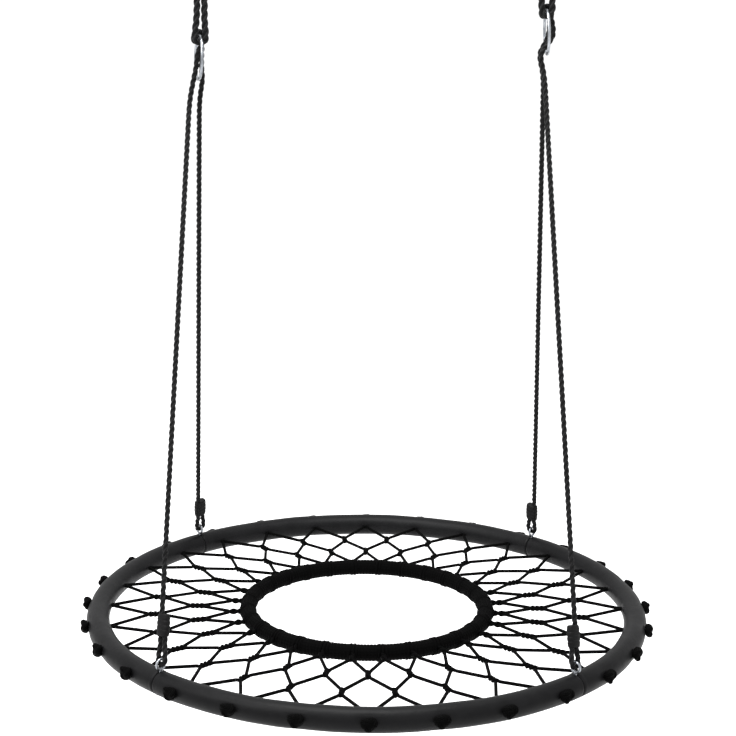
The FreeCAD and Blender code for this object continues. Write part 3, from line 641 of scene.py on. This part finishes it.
def sleeve(number, start, end):
    """One padded quarter of the hoop, as a closed ring sector from angle start to angle end.

    The section's radius is the cover's, less a broad dip and a sharp one at each cord hole outside
    and inside, plus long shallow waves, a lap seam underneath and a hem at each end. The profile
    runs out along the cover, in over the foam's end, and back along the tube. Round an eye's
    shank an end is drawn back by the half chord of a circle.
    """
    length = (end - start) * HOOP_R
    rows = ceil(length / (2.6 * MM))
    along = np.linspace(0, length, rows)
    phi = -np.linspace(0, tau, 64, endpoint=False)
    s, p = along[:, None], phi[None, :]
    angle = start + s / HOOP_R
    to_anchor = ((angle + pi / 2 + STEP / 2) % STEP - STEP / 2) * HOOP_R
    outside = COVER_R * ((p + pi) % tau - pi)
    from_side = {"outside": outside, "inside": COVER_R * (p % tau - pi)}
    radius = COVER_R - 0.5 * MM + 0 * s * p
    for depth, reach, round_reach, where in SLEEVE_DIPS:
        apart = (to_anchor / (reach * MM)) ** 2
        aside = (from_side[where] / (round_reach * MM)) ** 2
        radius -= depth * MM * np.exp(-apart - aside)
    pleat = np.cos(outside / (3.4 * MM) * tau / 2) * np.exp(-(np.abs(to_anchor) / (20 * MM)) ** 2)
    radius += 0.16 * MM * pleat * np.exp(-(outside / (24 * MM)) ** 2)
    radius += 0.28 * MM * np.sin(s / (31 * MM) + 1.7 * np.sin(p + number) + 2.1 * number)
    radius += 0.18 * MM * np.sin(s / (12.7 * MM) - 2 * p + 0.9 * number) * np.cos(s / (83 * MM))
    under = COVER_R * ((p + pi / 2 + pi) % tau - pi)
    seam = 0.9 * MM / (1 + np.exp(-(under + 3 * MM) / (0.5 * MM)))
    radius += seam / (1 + np.exp((under - 3 * MM) / (0.5 * MM)))
    from_end = np.minimum(s, length - s)
    radius -= 0.35 * MM * np.exp(-((from_end - 9 * MM) / (1.4 * MM)) ** 2)
    over = np.clip(1 - from_end / SLEEVE_ROLL, 0, 1)
    radius -= 2.2 * MM * (1 - np.sqrt(1 - 0.98 * over ** 2))
    foot = TUBE_R + 0.25 * MM
    cap = np.linspace(0, 1, 5)[1:, None]
    last = radius[-1:] + (foot - radius[-1:]) * cap
    first = radius[:1] + (foot - radius[:1]) * cap[::-1]
    back = np.full((30, len(phi)), foot)
    loop_r = np.concatenate([radius, last, back, first])
    loop_s = np.concatenate([along, np.full(4, length), np.linspace(length, 0, 32)[1:-1], np.zeros(4)])
    beside = loop_r * np.cos(p)
    chord = np.sqrt(np.clip((EYE_SHANK_R + 0.2 * MM) ** 2 - beside ** 2, 0, None)) - SLEEVE_GAP / 2
    draw = np.where(np.sin(p) > 0, np.clip(chord, 0, None), 0)
    ease = 12 * MM
    to_end = np.clip(1 - loop_s / ease, 0, 1) - np.clip(1 - (length - loop_s) / ease, 0, 1)
    turn = start + (loop_s[:, None] + draw * to_end[:, None]) / HOOP_R
    out = HOOP_R + beside
    grid = np.stack([out * np.cos(turn), out * np.sin(turn), HOOP_Z + loop_r * np.sin(p)], -1)
    return skin(grid, looped=True, along=np.append(loop_s, 0))


def make_sleeves():
    """The four sleeves, each from one rope eye to the next."""
    gap = SLEEVE_GAP / 2 / HOOP_R
    corners = [-EYE_ANGLE, EYE_ANGLE, pi - EYE_ANGLE, pi + EYE_ANGLE, tau - EYE_ANGLE]
    for number, word in enumerate(("right", "back", "left", "front")):
        surface = sleeve(number, corners[number] + gap, corners[number + 1] - gap)
        padding = piece(word + "_padded_sleeve", surface, "seat", COVER,
                        [word + "_cover", word + "_foam"])


# ---------------------------------------------------------------- net

def polar(radius, steps, aside=0.0, up=0.0):
    """A point of the net: steps are anchor spacings from the front, aside is along the hoop."""
    angle = -pi / 2 + STEP * steps
    radial = np.array([np.cos(angle), np.sin(angle), 0])
    tangent = np.array([-np.sin(angle), np.cos(angle), 0])
    return radius * radial + aside * tangent + np.array([0, 0, HOOP_Z + up])


def twisted_bar(radius, length, steps, way, turns):
    """Points of one of two strands that twist round each other along a radial line.

    way is 1 for the strand that comes from the side of lower steps, and -1 for its partner.
    """
    t = np.linspace(0, 1, 22)
    angle = (pi if way > 0 else 0) + tau * turns * t
    r = CORD_R * 0.98
    return np.array([polar(radius + length / 2 - length * share, steps, r * np.cos(a), r * np.sin(a))
                     for share, a in zip(t, angle)])


def strand_line(way):
    """One strand of the net from the anchor at the front: through the hoop, twisted with its
    neighbour at two knots, and twisted again down to the centre ring."""
    aside = CORD_R * 0.8 * way
    ends = [polar(HOOP_R, 0, aside), polar(STEM_IN + 1 * MM, 0, aside)]
    outer = twisted_bar(OUTER_ROW_R, KNOT_L, 0.5 * way, way, KNOT_TURNS)
    inner = twisted_bar(INNER_ROW_R, KNOT_L, 1.0 * way, way, KNOT_TURNS)
    length = CENTRE_KNOT_R - CENTRE_FACE_R + 6 * MM
    centre = twisted_bar(CENTRE_KNOT_R - length / 2, length, 1.5 * way, way, 1.0)
    line, _ = even_line(np.concatenate([ends, outer, inner, centre]), LINE_SPACING)
    for _ in range(3):
        line[1:-1] = (line[:-2] + 2 * line[1:-1] + line[2:]) / 4
    return line


def stopper_knot():
    """A tight knot outside the hoop at the front: a tube along a trefoil, pressed flat, round a
    flattened ball of cord that fills its middle."""
    t = np.linspace(0, tau, 72, endpoint=False)
    size = 1.12 * (STOP_KNOT_R - STOP_CORD_R) / 3
    deep = STOP_KNOT_L / 2 - STOP_CORD_R + 0.4 * MM
    x = 1.22 * size * (np.sin(t) + 2 * np.sin(2 * t))
    z = size * (np.cos(t) - 2 * np.cos(2 * t))
    y = -deep * np.sin(3 * t)
    middle = polar(HOOP_OUTER_R + STOP_KNOT_L / 2 - STOP_KNOT_SINK, 0, up=STOP_KNOT_RISE)
    line = np.stack([x, y, z], -1) + middle
    tangent = np.roll(line, -1, 0) - np.roll(line, 1, 0)
    tangent /= np.linalg.norm(tangent, axis=1)[:, None]
    normal = np.cross(tangent, np.array([0, 1, 0]))
    normal /= np.linalg.norm(normal, axis=1)[:, None]
    across = np.cross(tangent, normal)
    angle = np.linspace(0, tau, 12, endpoint=False)
    spoke = normal[:, None] * np.cos(angle)[None, :, None] + across[:, None] * np.sin(angle)[None, :, None]
    polar_angle = np.linspace(0.05, pi - 0.05, 12)[:, None]
    turn = -np.linspace(0, tau, 20, endpoint=False)[None, :]
    wide = 0.97 * STOP_KNOT_R * np.sin(polar_angle) ** 0.8
    ball = np.stack([1.16 * wide * np.cos(turn), 0.9 * STOP_KNOT_L / 2 * np.cos(polar_angle) + 0 * turn,
                     0.92 * wide * np.sin(turn)], -1) + middle
    return joined([skin(line[:, None] + STOP_CORD_R * spoke, looped=True), skin(ball)])


def lashing():
    """Two turns of cord round the centre ring's section, half a spacing from the front."""
    t = np.linspace(-0.2, 2.2, 64)
    r = CENTRE_WRAP_R - RIDGE_DEPTH
    aside = CORD_R * 2 * (t - 1)
    base = polar(CENTRE_RING_R, 0.5)
    angle = -pi / 2 + STEP / 2
    radial, tangent = np.array([cos(angle), sin(angle), 0]), np.array([-sin(angle), cos(angle), 0])
    line = base + radial * (r * np.cos(tau * t))[:, None] + UP * (r * np.sin(tau * t))[:, None]
    line = line + tangent * aside[:, None]
    return tube(line, 2.6 * MM, 8, plain(CORD_R))


def centre_wrap():
    """Cord wound closely round the centre ring: a torus whose section's radius rises and falls as
    a row of round ridges 5.8 mm apart, leaning a little as each turn climbs to the next."""
    ridges = round(tau * CENTRE_RING_R / RIDGE)
    per_ridge = 8
    theta = np.linspace(0, tau, ridges * per_ridge, endpoint=False)[:, None]
    phi = -np.linspace(0, tau, 28, endpoint=False)[None, :]
    phase = (ridges * theta + phi) % tau - pi
    ridge = np.sqrt(1 - 0.86 * (phase / pi) ** 2)
    r = CENTRE_WRAP_R - RIDGE_DEPTH + RIDGE_DEPTH * ridge
    out = CENTRE_RING_R + r * np.cos(phi)
    grid = np.stack([out * np.cos(theta), out * np.sin(theta), HOOP_Z + r * np.sin(phi)], -1)
    return skin(grid, looped=True)


def make_net():
    """The net's pieces: each is shaped at the front and repeated at every anchor spacing."""
    strands = [tube(strand_line(way), STRAND_SPACING, 10, plain(CORD_R)) for way in (-1, 1)]
    replaced = (["net_outer_strands", "net_outer_knots"],
                ["net_middle_strands", "net_inner_strands", "net_inner_knots"])
    for surface, name, nodes in zip(strands, ("net_left_strands", "net_right_strands"), replaced):
        piece(name, round_hoop(surface), "seat", CORD, nodes)
    piece("net_stopper_knots", round_hoop(stopper_knot()), "seat", CORD, ["net_anchors"])
    piece("net_centre_lashings", round_hoop(lashing()), "seat", CORD, ["net_centre_knots"])
    piece("centre_ring_winding", centre_wrap(), "seat", CORD, ["centre_ring_wrap"])


# ---------------------------------------------------------------- studio

def make_floor():
    """A plain pale studio floor under the seat."""
    mesh = bpy.data.meshes.new("floor")
    corners = [(x * FLOOR_HALF, y * FLOOR_HALF, FLOOR_Z) for x, y in ((-1, -1), (1, -1), (1, 1), (-1, 1))]
    mesh.from_pydata(corners, [], [(0, 1, 2, 3)])
    material, _, _ = new_material("studio_floor", Roughness=0.9, Specular_IOR_Level=0.1)
    material.node_tree.nodes["Principled BSDF"].inputs["Base Color"].default_value = linear("#f9f9f9")
    mesh.materials.append(material)
    floor = bpy.data.objects.new("floor", mesh)
    bpy.context.scene.collection.objects.link(floor)


def soft_light(name, place, aim, size, power):
    """A square soft box that faces a point."""
    data = bpy.data.lights.new(name, "AREA")
    data.size = size
    data.energy = power
    light = bpy.data.objects.new(name, data)
    light.location = place
    light.rotation_euler = (Vector(aim) - Vector(place)).to_track_quat("-Z", "Y").to_euler()
    bpy.context.scene.collection.objects.link(light)


def make_lights():
    """A white world and three soft boxes, all aimed at the seat."""
    world = bpy.data.worlds.new("studio")
    world.use_nodes = True
    background = world.node_tree.nodes["Background"]
    background.inputs["Color"].default_value = (1, 1, 1, 1)
    background.inputs["Strength"].default_value = WORLD_STRENGTH
    bpy.context.scene.world = world
    seat = (0, 0, HOOP_Z)
    soft_light("key", (-2.1, -1.4, 1.4), seat, 1.4, 80)
    soft_light("fill", (2.6, -2.2, 0.4), seat, 2.0, 10)
    soft_light("overhead", (-0.3, -0.2, 1.7), seat, 0.9, 130)


def make_camera():
    """The camera stands in front, above the seat, and looks down at it."""
    yaw, pitch, roll = CAMERA_YAW, CAMERA_PITCH, CAMERA_ROLL
    forward = Vector((-sin(yaw) * cos(pitch), cos(yaw) * cos(pitch), sin(pitch)))
    level = Vector((cos(yaw), sin(yaw), 0))
    upright = level.cross(forward)
    right = level * cos(roll) + upright * sin(roll)
    up = upright * cos(roll) - level * sin(roll)
    data = bpy.data.cameras.new("camera")
    data.lens = CAMERA_LENS
    data.sensor_width = 36
    data.clip_end = CAMERA_FAR
    camera = bpy.data.objects.new("camera", data)
    turn = Matrix((right, up, -forward)).transposed().to_4x4()
    turn.translation = CAMERA_PLACE
    camera.matrix_world = turn
    bpy.context.scene.collection.objects.link(camera)
    bpy.context.scene.camera = camera


dress_cad_nodes()
make_camera()
for side, word in ((-1, "left"), (1, "right")):
    make_ropes(side, word)
make_sleeves()
make_net()
make_floor()
make_lights()
bpy.context.scene.view_settings.view_transform = "Standard"
